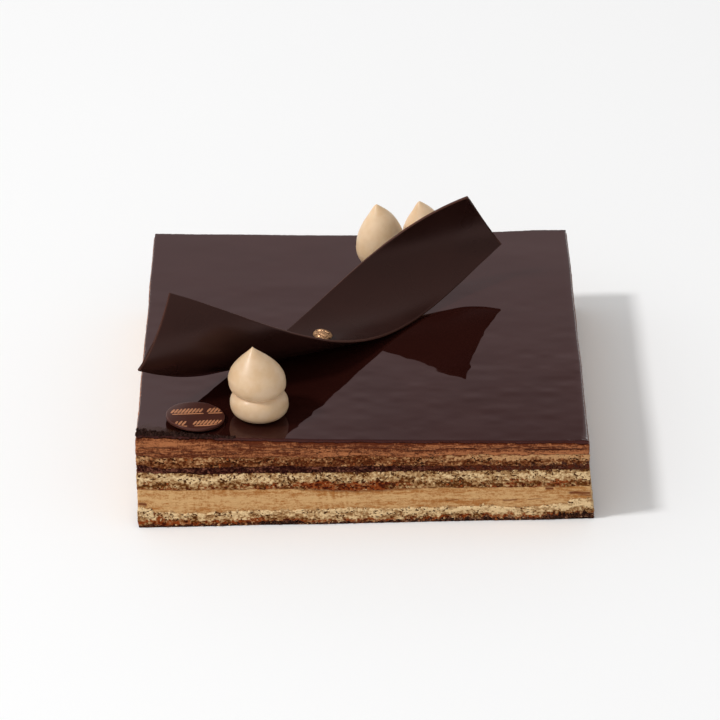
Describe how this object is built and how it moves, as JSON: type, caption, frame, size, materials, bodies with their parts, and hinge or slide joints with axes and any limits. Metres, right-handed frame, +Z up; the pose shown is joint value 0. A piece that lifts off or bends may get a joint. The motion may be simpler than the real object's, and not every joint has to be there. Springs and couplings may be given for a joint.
{
  "type": "opera cake",
  "caption": "Square layered coffee and chocolate cake under a mirror glaze, with a curled chocolate sheet, piped cream dollops, a chocolate disc and a gilded bean.",
  "frame": {"origin": "centre of the cake's flat underside", "axes": "+Z up, -Y towards the cut front face with its layers, +X towards the glazed right shoulder"},
  "size_m": [0.2056, 0.2029, 0.0968],
  "materials": {
    "chocolate_base": "rough dark chocolate",
    "pale_sponge": "open almond sponge crumb",
    "soaked_sponge": "sponge crumb soaked in coffee",
    "coffee_cream": "smooth cut buttercream",
    "soaked_cream": "smeared dark coffee buttercream",
    "ganache": "satin ganache",
    "glaze": "mirror chocolate glaze",
    "dark_chocolate": "satin tempered chocolate",
    "piped_cream": "smooth piped coffee cream",
    "gilding": "satin gold dust"
  },
  "bodies": {
    "root": {"chocolate_base": "chocolate_base", "sponge_bottom": "pale_sponge", "coffee_cream_lower": "coffee_cream", "sponge_middle": "pale_sponge", "ganache": "ganache", "sponge_top": "soaked_sponge", "coffee_cream_upper": "soaked_cream", "glaze": "glaze", "chocolate_curl": "dark_chocolate", "chocolate_disc": "dark_chocolate", "dollop_front": "piped_cream", "dollop_back_left": "piped_cream", "dollop_back_right": "piped_cream", "gold_bean": "gilding"}
  },
  "joints": []
}
